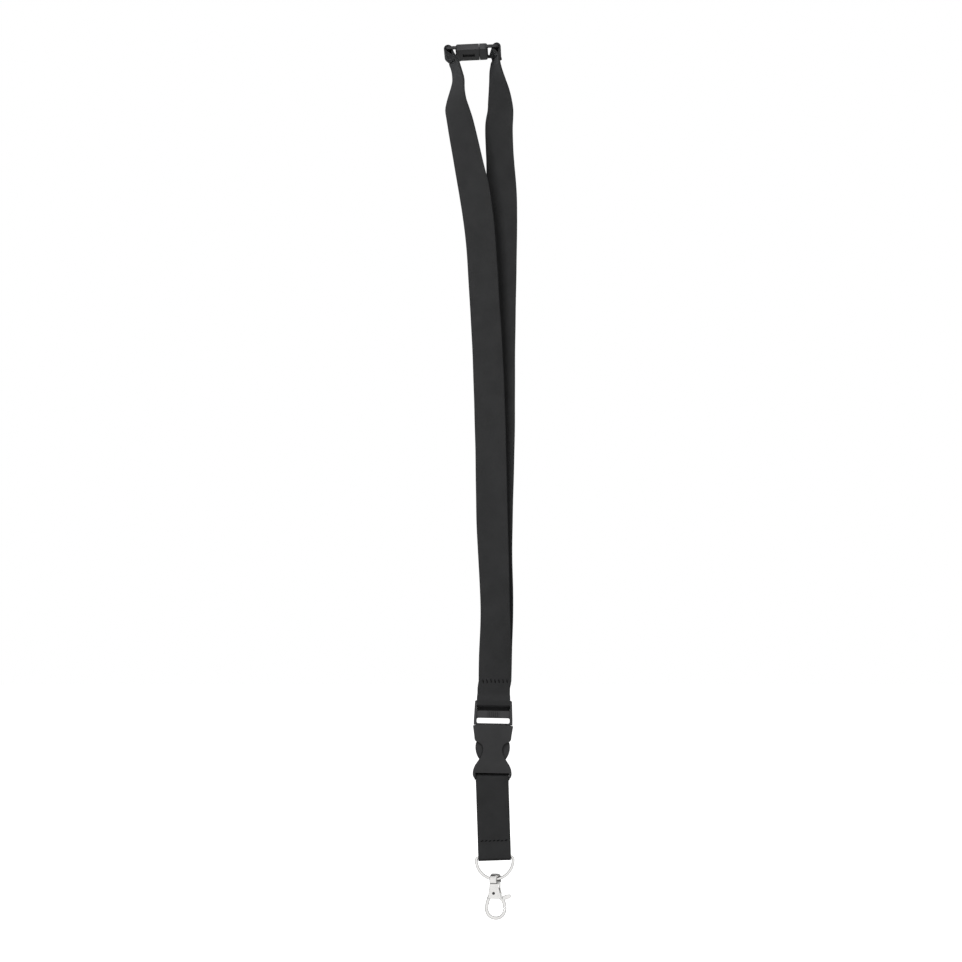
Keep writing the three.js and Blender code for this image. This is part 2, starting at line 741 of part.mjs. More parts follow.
// One length, as y and z in the tail's own frame. It starts inside the seam, goes down behind the
// front face and round the D-ring's bar, up the front, over the buckle's end bar and down the back.
const ringWrap = wrapRadius(dRing.wire);
const endWrap = wrapRadius(buckle.endBar);
const seamZ = -tail.length + tail.seam;
const turnRound = (y0, z0, radius, from, to, steps) =>
  Array.from({ length: steps + 1 }, (_, i) => {
    const angle = rad(from + ((to - from) * i) / steps);
    return [y0 + radius * Math.cos(angle), z0 + radius * Math.sin(angle)];
  });
const tailRoute = [
  [0, seamZ + tail.overlap],
  [0, seamZ],
  [0.35, seamZ - 3.2],
  [ringWrap - 0.15, seamZ - 7],
  ...turnRound(0, -tail.length, ringWrap, 0, -180, 8),
  [-ringWrap + 0.05, seamZ - 6.5],
  [-layerStep, seamZ - 2],
  [-layerStep, seamZ + tail.overlap],
  [-layerStep - 0.1, seamZ + 12],
  [-layerStep - 0.2, seamZ + 22],
  [-endWrap + 0.05, -4],
  ...turnRound(0, 0, endWrap, 180, 0, 8),
  [endWrap - 0.05, -4],
  [layerStep + 0.2, seamZ + 22],
  [layerStep + 0.1, seamZ + 12],
  [layerStep, seamZ + tail.overlap],
  [layerStep, seamZ - tail.overlap / 2],
];
// At the end bar the webbing lies square to the buckle, and a little lower square to the tail.
const tailStations = tailRoute.map(([y, z]) => {
  const square = new THREE.Vector3(1, 0, 0).transformDirection(buckleGroup.matrixWorld);
  const across = new THREE.Vector3(1, 0, 0).transformDirection(tailGroup.matrixWorld);
  const point = new THREE.Vector3(0, y, z).applyMatrix4(tailGroup.matrixWorld);
  return station(point, square.lerp(across, THREE.MathUtils.smoothstep(-z, 4, 12)));
});
place(lanyard, 'tail_strap', ribbon(tailStations), webbingLook);
const tailSeamRow = new THREE.BoxGeometry(strap.width - 3, 0.3, 0.8);
const tailSeam = new THREE.Group();
tailGroup.add(tailSeam);
tailSeam.position.set(0, -layerStep - strap.thick / 2 - LAYER_GAP - 0.15, seamZ);
place(tailSeam, 'stitch_row_tail', tailSeamRow, threadLook);

// ---- D-ring ----
const ringGroup = new THREE.Group();
ringGroup.position.copy(new THREE.Vector3(0, 0, -tail.length).applyMatrix4(tailGroup.matrixWorld));
ringGroup.rotation.y = -rad(tail.lean);
ringGroup.updateMatrixWorld(true);
lanyard.add(ringGroup);

class DRingPath extends THREE.Curve {
  getPoint(t) {
    const half = (dRing.outer - dRing.wire) / 2;
    const corner = 1.6;
    const bar = half - corner;
    const lengths = [2 * bar, (Math.PI / 2) * corner, Math.PI * half, (Math.PI / 2) * corner];
    const total = lengths.reduce((a, b) => a + b);
    let s = t * total;
    if (s <= lengths[0]) return new THREE.Vector3(-bar + s, 0, 0);
    s -= lengths[0];
    if (s <= lengths[1]) {
      const a = s / corner;
      return new THREE.Vector3(bar + corner * Math.sin(a), 0, -corner + corner * Math.cos(a));
    }
    s -= lengths[1];
    if (s <= lengths[2]) {
      const a = s / half;
      const drop = dRing.drop - corner;
      return new THREE.Vector3(half * Math.cos(a), 0, -corner - drop * Math.sin(a));
    }
    s -= lengths[2];
    const a = s / corner;
    return new THREE.Vector3(-half + corner * (1 - Math.cos(a)), 0, -corner + corner * Math.sin(a));
  }
}

// A closed tube: rings of points along the closed path, joined end to start.
function closedTube(path, radius, steps, sides) {
  const points = [];
  const triangles = [];
  for (let i = 0; i < steps; i++) {
    const t = i / steps;
    const middle = path.getPoint(t);
    const tangent = path.getPoint((t + 1e-3) % 1).sub(path.getPoint((t + 1 - 1e-3) % 1)).normalize();
    const up = new THREE.Vector3(0, 1, 0);
    const out = up.clone().cross(tangent);
    for (let k = 0; k < sides; k++) {
      const a = (2 * Math.PI * k) / sides;
      const p = middle.clone().addScaledVector(out, radius * Math.cos(a));
      p.addScaledVector(up, radius * Math.sin(a));
      points.push(p.x, p.y, p.z);
      const [n, m] = [((i + 1) % steps) * sides, (k + 1) % sides];
      const j = i * sides;
      triangles.push(j + k, j + m, n + m, j + k, n + m, n + k);
    }
  }
  return closedGeometry(points, triangles);
}
place(ringGroup, 'd_ring', closedTube(new DRingPath(), dRing.wire / 2, 56, 10), metalLook);

// ---- swivel eye ----
const ringFoot = new THREE.Vector3(0, 0, -dRing.drop).applyMatrix4(ringGroup.matrixWorld);
const eyeGroup = new THREE.Group();
eyeGroup.position.copy(ringFoot);
eyeGroup.rotation.z = rad(eye.turn);
eyeGroup.updateMatrixWorld(true);
lanyard.add(eyeGroup);
const holeTop = dRing.wire / 2 + GAP + eye.rise;
const holeFoot = -dRing.wire / 2 - GAP;
const eyeTop = holeTop + eye.top;
const eyeFoot = holeFoot - eye.base;

function eyeSolid() {
  const half = eye.width / 2;
  const hole = half - eye.wall;
  const outer = new THREE.Shape();
  outer.moveTo(-half + 0.5, eyeFoot);
  outer.lineTo(half - 0.5, eyeFoot);
  outer.bezierCurveTo(half + 0.2, eyeFoot + 1.2, half + 0.4, eyeTop - 0.2, 0, eyeTop);
  outer.bezierCurveTo(-half - 0.4, eyeTop - 0.2, -half - 0.2, eyeFoot + 1.2, -half + 0.5, eyeFoot);
  const opening = roundedOutline(-hole, hole, holeFoot, holeTop, 0.9);
  const ring = plate(outer, eye.thick, 0.5).subtract(plate(opening, 2 * eye.thick));
  const postFoot = eyeFoot - eye.postLength;
  const post = rod([0, 0, eyeFoot + 0.3], [0, 0, postFoot], eye.post / 2, 20);
  const head = rod([0, 0, postFoot - eye.headHigh], [0, 0, postFoot], eye.head / 2, 20);
  return ring.add(post).add(head);
}
place(eyeGroup, 'swivel_eye', eyeSolid(), metalLook);

// ---- trigger hook ----
const hookGroup = new THREE.Group();
hookGroup.position.copy(ringFoot).add(new THREE.Vector3(0, 0, eyeFoot - GAP));
hookGroup.updateMatrixWorld(true);
lanyard.add(hookGroup);
const pinAt = [hook.pinLeft, -hook.pinDrop];

// The middle line of the hook's wire and of the gate, which closes its right side.
const loopLine = new THREE.CatmullRomCurve3(
  [
    [-3.2, -6.8],
    [-3.9, -8.6],
    [-5.1, -12.8],
    [-5.4, -15.6],
    [-4.4, -18.9],
    [-2.2, -20.7],
    [0.6, -21.3],
    [3.4, -20.5],
    [5.2, -18.2],
    [5.85, -15.3],
    [5.4, -12.1],
    [3.9, -8.4],
    [2.3, -4.8],
  ].map(([x, z]) => new THREE.Vector3(x, 0, z)),
);
const loopTube = tube(loopLine, hook.wire / 2, 44, 10);
const wheel = (radius, thick) => rod([pinAt[0], -thick, pinAt[1]], [pinAt[0], thick, pinAt[1]], radius, 48);
const reach = 40;

// The half of space on the side of larger or smaller angles from a line through the pin.
function pastLine(angle, side) {
  const a = rad(angle);
  const down = [Math.sin(a), -Math.cos(a)];
  const out = [side * Math.cos(a), side * Math.sin(a)];
  const corner = (d, o) => [pinAt[0] + down[0] * d + out[0] * o, pinAt[1] + down[1] * d + out[1] * o];
  const shape = new THREE.Shape([[-1, 0], [reach, 0], [reach, reach], [-1, reach]].map(
    ([d, o]) => new THREE.Vector2(...corner(d, o)),
  ));
  return plate(shape, 20);
}
const rightSide = block([-0.4, -5, -reach], [reach, 5, 5]);
const clearAngle = (GAP / hook.lapInner) * (180 / Math.PI);

const outlineOf = (points) => new THREE.Shape(points.map(([x, z]) => new THREE.Vector2(x, z)));

// The edge between the body's cheeks and the gate, from the collar down.
const seamTop = [1.7, -hook.collar];
const seamFoot = [3.7, -9.8];

// the body: a tapered block with a slot for the gate between two cheeks, and the wire of the hook
function hookBody() {
  const half = hook.head / 2;
  const outline = outlineOf([
    [-half, 0],
    [half - 0.2, 0],
    [half - 0.1, -hook.collar],
    [4.3, -9.2],
    [1.6, -9.5],
    [-4.6, -9.2],
  ]);
  let body = plate(outline, hook.thick, 0.35);
  const slot = outlineOf([
    [-2.9, -4.4],
    [1, -2.4],
    [9, -2.4],
    [9, -12],
    [-2.9, -12],
  ]);
  const gateSide = outlineOf([seamTop, [12, -hook.collar], [12, -14], [seamFoot[0], -14], seamFoot]);
  const gateZone = rightSide.intersect(wheel(hook.lapInner + GAP, 6));
  const lapZone = rightSide
    .intersect(wheel(hook.lapOuter + GAP, 6))
    .intersect(pastLine(hook.lapAngle + clearAngle, -1));
  body = body.subtract(plate(gateSide, 20));
  body = body.add(loopTube.subtract(gateZone).subtract(lapZone));
  body = body.subtract(plate(slot, hook.thick - 2 * hook.cheek));
  const headTop = GAP - eye.postLength;
  const bore = rod([0, 0, 1], [0, 0, headTop], eye.post / 2 + GAP, 20);
  const room = rod([0, 0, headTop + GAP], [0, 0, headTop - eye.headHigh - GAP], eye.head / 2 + GAP, 20);
  return body.subtract(bore).subtract(room).subtract(wheel(hook.pin / 2 + 0.05, 5));
}
place(hookGroup, 'hook_body', hookBody(), metalLook);
place(hookGroup, 'gate_pin', wheel(hook.pin / 2, hook.thick / 2 - 0.15), metalLook);

// the gate: a tang between the cheeks, a thicker heel beside them, the thumb tab and the wire that
// closes the loop
function hookGate() {
  const tang = outlineOf([
    [-1.1, -4.7],
    [1.9, -4.9],
    [2.25, -hook.collar - GAP],
    [3.2, -hook.collar - GAP],
    [3.8, -5],
    [5, -10],
    [4, -11.6],
    [2.6, -9.8],
    [0.4, -7.6],
    [-1.1, -7.3],
    [-2.1, -6.9],
    [-2.4, -6],
    [-2.1, -5.1],
  ]);
  const heel = outlineOf([
    [seamTop[0] + 0.45, -hook.collar - GAP],
    [3.2, -hook.collar - GAP],
    [3.75, -4.9],
    [3.95, -5.8],
    [3.75, -5.8],
    [3.3, -4.9],
  ]);
  const tab = outlineOf([
    [4.1, -10.5],
    [4.3, -8.2],
    [6.2, -7],
    [8.5, -6.75],
    [9.4, -7],
    [9.8, -7.8],
    [9.5, -8.7],
    [8.6, -9.25],
    [5, -10.4],
  ]);
  const wire = rightSide
    .intersect(loopTube)
    .intersect(block([-2, -5, -reach], [reach, 5, -10.2]))
    .intersect(wheel(hook.lapOuter, 6));
  const lapped = wire.subtract(wheel(hook.lapInner, 6)).intersect(pastLine(hook.lapAngle, -1));
  const upper = wire.intersect(wheel(hook.lapInner, 6));
  return plate(tang, hook.gateThick, 0.15)
    .add(plate(heel, hook.thick - 0.5))
    .add(plate(tab, 2.4, 0.5))
    .add(upper)
    .add(lapped)
    .subtract(wheel(hook.pin / 2 + 0.05, 5));
}
place(hookGroup, 'hook_gate', hookGate(), metalLook);

// the spring that closes the gate, between the slot's wall and the tang
class Coil extends THREE.Curve {
  getPoint(t) {
    const angle = 2 * Math.PI * spring.turns * t;
    const x = spring.left + (spring.right - spring.left) * t;
    const y = spring.radius * Math.cos(angle);
    return new THREE.Vector3(x, y, spring.height + spring.radius * Math.sin(angle));
  }
}
place(hookGroup, 'gate_spring', tube(new Coil(), spring.wire / 2, spring.turns * 14, 6), metalLook);

export default lanyard;
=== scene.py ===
"""A neck lanyard that hangs from its breakaway clasp: webbing, moulded fittings and plated metal."""
import math

import bmesh
import bpy
from mathutils import Euler, Matrix, Vector


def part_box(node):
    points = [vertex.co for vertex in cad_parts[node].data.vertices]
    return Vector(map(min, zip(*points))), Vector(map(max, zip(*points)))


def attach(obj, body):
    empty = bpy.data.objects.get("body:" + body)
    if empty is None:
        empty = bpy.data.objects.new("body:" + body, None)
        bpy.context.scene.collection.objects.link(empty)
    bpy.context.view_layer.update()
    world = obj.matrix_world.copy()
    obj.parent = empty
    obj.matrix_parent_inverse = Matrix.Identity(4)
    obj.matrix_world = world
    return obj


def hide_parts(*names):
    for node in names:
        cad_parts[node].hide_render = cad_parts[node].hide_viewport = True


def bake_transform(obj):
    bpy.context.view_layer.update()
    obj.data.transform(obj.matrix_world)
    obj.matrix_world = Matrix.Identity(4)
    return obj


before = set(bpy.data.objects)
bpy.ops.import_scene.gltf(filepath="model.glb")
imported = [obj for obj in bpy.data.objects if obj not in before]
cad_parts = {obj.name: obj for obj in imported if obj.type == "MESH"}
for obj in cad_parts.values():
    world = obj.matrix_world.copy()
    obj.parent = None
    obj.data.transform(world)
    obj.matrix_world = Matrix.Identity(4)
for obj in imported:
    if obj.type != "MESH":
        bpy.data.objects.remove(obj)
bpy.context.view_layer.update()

MM = 0.001  # the routes and sizes below are in millimetres, and every mesh is made in metres


# ---- camera ----
VIEW_WIDTH = 0.5902
VIEW_MIDDLE = Vector((0.0055, 0, -0.2589))
CAMERA_DISTANCE = 3.2

camera_data = bpy.data.cameras.new("camera")
camera_data.lens = camera_data.sensor_width * CAMERA_DISTANCE / VIEW_WIDTH
camera_data.clip_end = 50
camera = bpy.data.objects.new("camera", camera_data)
camera.location = VIEW_MIDDLE + Vector((0, -CAMERA_DISTANCE, 0))
camera.rotation_euler = (math.radians(90), 0, 0)
bpy.context.collection.objects.link(camera)
bpy.context.scene.camera = camera


# ---- sizes of the soft pieces, as in the frame ----
LAYER_GAP = 0.15
STRAP_WIDTH = 20.0
STRAP_THICK = 1.1
LAYER_STEP = STRAP_THICK + LAYER_GAP
EDGE_ROUND = 0.45
SLOT_HALF = 10.3  # half the width of every slot that the webbing passes through

CLASP_CENTRE = Vector((0, 0, 4.2))
CLASP_TURN = Euler([math.radians(a) for a in (-12.2, -2.6, -0.6)], "XYZ")
RING_BAR = 2.0
RING_THICK = 1.8
LEFT_BAR = -14.5
RIGHT_BAR = 15.2
FLAP_LEFT = 8.3
FLAP_RIGHT = 7.1
SLACK_RIGHT = 0.15
SKEW_RIGHT = 0.36
FOLD_SEAM = 2.3  # from a fold-back's cut end to its thread row
BUCKLE_STITCH_SLANT = 0.9
STITCH_SLANT = 0.25

BUCKLE_AT = Vector((12.92, 0, -408))
BUCKLE_LEAN = 1.08
FRAME_TOP = 14.4
TOP_BAR = 2.1
END_BAR = 2.4
END_BAR_Z = -33.1

TAIL_LEAN = 1.84
TAIL_LENGTH = 48.6
TAIL_SEAM = 10.9
TAIL_OVERLAP = 4

RING_WIRE = 1.8
RING_OUTER = 24.4
RING_DROP = 13.4

clasp_frame = Matrix.Translation(CLASP_CENTRE) @ CLASP_TURN.to_matrix().to_4x4()
buckle_frame = Matrix.Translation(BUCKLE_AT) @ Matrix.Rotation(math.radians(BUCKLE_LEAN), 4, "Y")
tail_at = buckle_frame @ Vector((0, 0, END_BAR_Z))
tail_frame = Matrix.Translation(tail_at) @ Matrix.Rotation(-math.radians(TAIL_LEAN), 4, "Y")
ring_at = tail_frame @ Vector((0, 0, -TAIL_LENGTH))
ring_frame = Matrix.Translation(ring_at) @ Matrix.Rotation(-math.radians(TAIL_LEAN), 4, "Y")

# Each leg's free route, from the fold-back's cut end down to the thread row above the buckle:
# x, y, z, the turn of its face away from the front and the tip of its near edge.
FRONT_ROUTE = [
    (-10.2, -1.6, -3, 75, 5),
    (-9.3, -2, -7, 74, 3),
    (-8.4, -2.2, -13, 70, 1),
    (-9, -2.4, -19, 65, 0),
    (-9.4, -2.7, -25.2, 55, 0),
    (-8.9, -3, -31.3, 42, 0),
    (-7.5, -3.2, -37.4, 37, 0),
    (-5, -3.6, -49.7, 32, 0),
    (-2.5, -3.8, -62, 27, 0),
    (1.7, -3.9, -83.4, 18, 0),
    (5.2, -3.9, -111, 25, 0),
    (7.6, -3.6, -147.9, 26, 0),
    (9.7, -3.2, -184.7, 23, 0),
    (11.3, -2.6, -233.7, 21, 0),
    (12.3, -2.4, -282.8, 18, 0),
    (13.7, -2.6, -319.6, 25, 0),
    (14.3, -2.4, -344.2, 26, 0),
    (14.2, -1.2, -366, 9, 0),
    (14.1, -LAYER_STEP / 2, -381.6, 0, 0),
]
BACK_ROUTE = [
    (14.8, -1.4, -2.4, 76, 6),
    (14.7, -1.2, -6.8, 70, 3),
    (15.5, -0.8, -12.9, 62, 1),
    (16.5, -0.2, -19, 53, 0),
    (17.1, 0.3, -25.2, 45, 0),
    (17.4, 0.8, -31.3, 39, 0),
    (16.8, 1.1, -37.4, 34, 0),
    (16.5, 1.3, -43.6, 34, 0),
    (16.9, 1.6, -55.8, 34, 0),
    (17.4, 1.8, -65, 32, 0),
    (18.3, 2, -86.5, 23, 0),
    (18.1, 2, -111, 20, 0),
    (17.4, 1.9, -147.9, 19, 0),
    (16.9, 1.8, -184.7, 19, 0),
    (16.6, 1.7, -233.7, 18, 0),
    (15.3, 1.6, -282.8, 17, 0),
    (15.2, 1.6, -307.4, 19, 0),
    (15.8, 1.8, -331.9, 19, 0),
    (14.6, 1.1, -362.6, 7, 0),
    (14.1, LAYER_STEP / 2, -381.6, 0, 0),
]


# ---- routes ----
def through(rows, t):
    """A smooth curve through rows of numbers: row i is met at t = i."""
    last = len(rows) - 1
    i = min(int(t), last - 1)
    u = t - i
    a, b, c, d = (rows[min(max(n, 0), last)] for n in (i - 1, i, i + 1, i + 2))
    met = []
    for k in range(len(b)):
        start = (c[k] - a[k]) / 2
        end = (d[k] - b[k]) / 2
        rise = c[k] - b[k]
        square = 3 * rise - 2 * start - end
        cube = start + end - 2 * rise
        met.append(b[k] + start * u + square * u * u + cube * u**3)
    return met


def smooth(t, low, high):
    u = min(max((t - low) / (high - low), 0), 1)
    return u * u * (3 - 2 * u)


def wrap_radius(wide, thick=0.0):
    return math.hypot(wide, thick) / 2 + LAYER_GAP + STRAP_THICK / 2


def width_at(turn, tip):
    t, n = math.radians(turn), math.radians(tip)
    return Vector((math.cos(t), -math.sin(t) * math.cos(n), math.sin(t) * math.sin(n)))


def along_route(route, step):
    """Stations every step millimetres or so: (middle, direction of the width)."""
    stations = []
    for i in range(len(route) - 1):
        count = max(3, round((Vector(route[i + 1][:3]) - Vector(route[i][:3])).length / step))
        for k in range(1, count + 1):
            x, y, z, turn, tip = through(route, i + k / count)
            stations.append((Vector((x, y, z)), width_at(turn, tip)))
    return stations


RING_ACROSS = clasp_frame.to_3x3() @ Vector((0, -1, 0))


def fold_back(bar, route, flap, slack, skew):
    """From the cut end up to the ring bar, over it and down to the start of the free route."""
    end = Vector(route[0][:3])
    end_across = width_at(*route[0][3:])
    along = (end - bar).normalized()
    cut = bar + along * flap
    radius = wrap_radius(RING_BAR, RING_THICK)
    closed = LAYER_STEP / 2

    def across_at(share):
        return RING_ACROSS.lerp(end_across, share).normalized()

    stand_off = slack + STRAP_WIDTH / 2 * RING_ACROSS.cross(across_at(skew)).length

    def room(side):
        return radius + stand_off if side < 0 else radius

    def layer(t, side):
        start = skew if side < 0 else 0
        across = across_at(start + (1 - start) * smooth(t, 0.12, 1))
        face = across.cross(along).normalized()
        spread = room(side) + (closed - room(side)) * smooth(t, 0.02, 0.62)
        return bar.lerp(cut, t) + face * side * spread, across

    steps = [i / 14 for i in range(15)]
    stations = [layer(t, 1) for t in reversed(steps)]
    face = RING_ACROSS.cross(along).normalized()
    for i in range(1, 12):
        a = math.pi * i / 12
        out = math.cos(a)
        middle = bar + face * room(out) * out - along * radius * math.sin(a)
        stations.append((middle, across_at(skew * max(0, -out))))
    return stations + [layer(t, -1) for t in steps]


def leg(bar, route, flap, slack=0.0, skew=0.0):
    fold = fold_back(bar, route, flap, slack, skew)
    offset = fold[-1][0] - Vector(route[0][:3])
    moved = []
    for i, row in enumerate(route):
        share = {0: 1, 1: 0.4}.get(i, 0)
        moved.append([*(Vector(row[:3]) + offset * share), *row[3:]])
    return fold, fold + along_route(moved, 2.2)


BAR_FRONT = wrap_radius(TOP_BAR)
BAR_FOOT = FRAME_TOP - TOP_BAR
LEG_SIDE = LAYER_STEP / 2 + 0.025
UNDER = STRAP_THICK / 2 + 0.3  # from the foot of the bar to the middle of the webbing below it
# The loop round the buckle's top bar, as y and z in the buckle's own frame.
LOOP_FRONT = [
    (-LEG_SIDE, 22),
    (-LEG_SIDE - 0.05, 18.5),
    (-LEG_SIDE - 0.6, 16.2),
    (-BAR_FRONT, FRAME_TOP),
    (-BAR_FRONT, BAR_FOOT + 0.2),
    (-TOP_BAR / 2 - 0.6 * UNDER, BAR_FOOT - 0.75 * UNDER),
    (-0.3, BAR_FOOT - UNDER - 0.2),
    (0.9, BAR_FOOT - UNDER - 0.7),
    (2.1, BAR_FOOT - 3.2),
    (2.7, BAR_FOOT - 5),
    (3.6, BAR_FOOT - 5.7),
    (4.5, BAR_FOOT - 4.8),
    (4.4, BAR_FOOT - 2.4),
    (3.4, BAR_FOOT + 1),
    (2.2, 15.6),
    (1.4, 17),
]
LOOP_BACK = [(LEG_SIDE + 0.45, 17.8), (LEG_SIDE + 0.05, 19.5), (LEG_SIDE, 22)]


def along_loop(rows, per_row):
    across = buckle_frame.to_3x3() @ Vector((1, 0, 0))
    stations = []
    for i in range((len(rows) - 1) * per_row + 1):
        y, z = through(rows, i / per_row)
        stations.append((buckle_frame @ Vector((0, y, z)), across))
    return stations


SEAM_Z = -TAIL_LENGTH + TAIL_SEAM
RING_WRAP = wrap_radius(RING_WIRE)
END_WRAP = wrap_radius(END_BAR)


def turn_round(y, z, radius, start, end, steps):
    angles = [math.radians(start + (end - start) * i / steps) for i in range(steps + 1)]
    return [(y + radius * math.cos(a), z + radius * math.sin(a)) for a in angles]


# The tail is one length, as y and z in its own frame, from inside the seam round the D-ring's bar,
# up the front, over the buckle's end bar and down the back.
TAIL_ROUTE = [
    (0, SEAM_Z + TAIL_OVERLAP),
    (0, SEAM_Z),
    (0.35, SEAM_Z - 3.2),
    (RING_WRAP - 0.15, SEAM_Z - 7),
    *turn_round(0, -TAIL_LENGTH, RING_WRAP, 0, -180, 8),
    (-RING_WRAP + 0.05, SEAM_Z - 6.5),
    (-LAYER_STEP, SEAM_Z - 2),
    (-LAYER_STEP, SEAM_Z + TAIL_OVERLAP),
    (-LAYER_STEP - 0.1, SEAM_Z + 12),
    (-LAYER_STEP - 0.2, SEAM_Z + 22),
    (-END_WRAP + 0.05, -4),
    *turn_round(0, 0, END_WRAP, 180, 0, 8),
    (END_WRAP - 0.05, -4),
    (LAYER_STEP + 0.2, SEAM_Z + 22),
    (LAYER_STEP + 0.1, SEAM_Z + 12),
    (LAYER_STEP, SEAM_Z + TAIL_OVERLAP),
    (LAYER_STEP, SEAM_Z - TAIL_OVERLAP / 2),
]


def tail_stations():
    square = buckle_frame.to_3x3() @ Vector((1, 0, 0))
    across = tail_frame.to_3x3() @ Vector((1, 0, 0))
    stations = []
    for i in range((len(TAIL_ROUTE) - 1) * 4 + 1):
        y, z = through(TAIL_ROUTE, i / 4)
        way = square.lerp(across, smooth(-z, 4, 12)).normalized()
        stations.append((tail_frame @ Vector((0, y, z)), way))
    return stations


def faces_of(stations):
    """The face direction of each station: square to the route and to the width."""
    faces = []
    for i, (_, across) in enumerate(stations):
        before = stations[max(i - 1, 0)][0]
        after = stations[min(i + 1, len(stations) - 1)][0]
        faces.append((after - before).cross(across).normalized())
    return faces


def distances(stations):
    run = [0.0]
    for (a, _), (b, _) in zip(stations, stations[1:]):
        run.append(run[-1] + (b - a).length)
    return run


def run_near(stations, run, target, start):
    """The distance along the route of the station nearest to a point, looked for after start."""
    found = [i for i in range(len(run)) if run[i] > start]
    return run[min(found, key=lambda i: (stations[i][0] - target).length)]


# ---- mesh helpers ----
def mesh_object(name, mesh, material):
    piece = bpy.data.objects.new(name, mesh)
    bpy.context.collection.objects.link(piece)
    mesh.materials.clear()
    mesh.materials.append(material)
    for polygon in mesh.polygons:
        polygon.use_smooth = True
    return piece


def applied(piece):
    """The piece with its modifiers made part of its mesh."""
    graph = bpy.context.evaluated_depsgraph_get()
    mesh = bpy.data.meshes.new_from_object(piece.evaluated_get(graph))
    piece.modifiers.clear()
    piece.data = mesh
    return piece


def section():
    """The webbing's section: two faces and rounded selvages, as shares of half its width and thickness."""
    edge = 1 - EDGE_ROUND / (STRAP_WIDTH / 2)
    flats = [edge * (-1 + 2 * i / 12) for i in range(13)]
    turns = [math.pi * k / 6 for k in range(1, 6)]
    rounds = [(edge + (1 - edge) * math.sin(a), -math.cos(a)) for a in turns]
    lower = [(a, -1.0) for a in flats]
    upper = [(-a, 1.0) for a in flats]
    return lower + rounds + upper + [(-a, -b) for a, b in rounds]


def webbing(name, stations, seams, material, full=()):
    """A closed strip of webbing along the stations, nipped in at its seams and fused at its cut ends.

    Full lists the distances along it at which it fills the slot that it passes through.
    """
    faces = faces_of(stations)
    run = distances(stations)
    ring = section()
    mesh = bmesh.new()
    cloth = mesh.loops.layers.uv.new("cloth")
    rows = []
    for (middle, across), face, at in zip(stations, faces, run):
        nip = sum(math.exp(-(((at - s) / 0.8) ** 2)) for s in seams)
        ripple = 0.05 * math.sin(at * 0.21) + 0.04 * math.sin(at * 0.083 + 1)
        filled = max((1 - smooth(abs(at - middle_at), 2.5, 6) for middle_at in full), default=0)
        half = STRAP_WIDTH / 2 + 0.07 + ripple * 0.6
        half += (SLOT_HALF - 0.01 - half) * filled
        thick = STRAP_THICK / 2 * (1 - 0.12 * min(nip, 1))
        row = []
        for a, b in ring:
            row.append(mesh.verts.new((middle + across * a * half + face * b * thick) * MM))
        rows.append(row)
    count = len(ring)
    for i in range(len(rows) - 1):
        for k in range(count):
            n = (k + 1) % count
            quad = mesh.faces.new((rows[i][k], rows[i][n], rows[i + 1][n], rows[i + 1][k]))
            places = ((k, i), (n, i), (n, i + 1), (k, i + 1))
            for loop, (at, row) in zip(quad.loops, places):
                loop[cloth].uv = (ring[at][0] * STRAP_WIDTH / 2, run[row])
    mesh.faces.new(rows[0])
    mesh.faces.new(reversed(rows[-1]))
    bmesh.ops.recalc_face_normals(mesh, faces=mesh.faces)
    data = bpy.data.meshes.new(name)
    mesh.to_mesh(data)
    mesh.free()
    piece = mesh_object(name, data, material)
    piece["run"] = run[-1]
    return piece


def tube(mesh, points, radius, sides=12, closed=False):
    """Adds a round tube along points, in metres, to a bmesh."""
    rings = []
    count = len(points)
    normal = None
    for i, p in enumerate(points):
        if closed:
            ahead, behind = points[(i + 1) % count], points[i - 1]
        else:
            ahead, behind = points[min(i + 1, count - 1)], points[max(i - 1, 0)]
        tangent = (ahead - behind).normalized()
        if normal is None:
            normal = tangent.orthogonal().normalized()
        normal = (normal - tangent * normal.dot(tangent)).normalized()
        other = tangent.cross(normal)
        swell = radius[i] if isinstance(radius, list) else radius
        angles = [2 * math.pi * k / sides for k in range(sides)]
        rings.append(
            [mesh.verts.new(p + (normal * math.cos(a) + other * math.sin(a)) * swell) for a in angles]
        )
    pairs = list(zip(rings, rings[1:]))
    if closed:
        # the last ring meets the first where their points lie nearest
        shift = min(range(sides), key=lambda s: (rings[-1][0].co - rings[0][s].co).length)
        pairs.append((rings[-1], rings[0][shift:] + rings[0][:shift]))
    for a, b in pairs:
        for k in range(sides):
            n = (k + 1) % sides
            mesh.faces.new((a[k], a[n], b[n], b[k]))
    if not closed:
        mesh.faces.new(reversed(rings[0]))
        mesh.faces.new(rings[-1])


def from_bmesh(name, mesh, material):
    bmesh.ops.recalc_face_normals(mesh, faces=mesh.faces)
    data = bpy.data.meshes.new(name)
    mesh.to_mesh(data)
    mesh.free()
    return mesh_object(name, data, material)


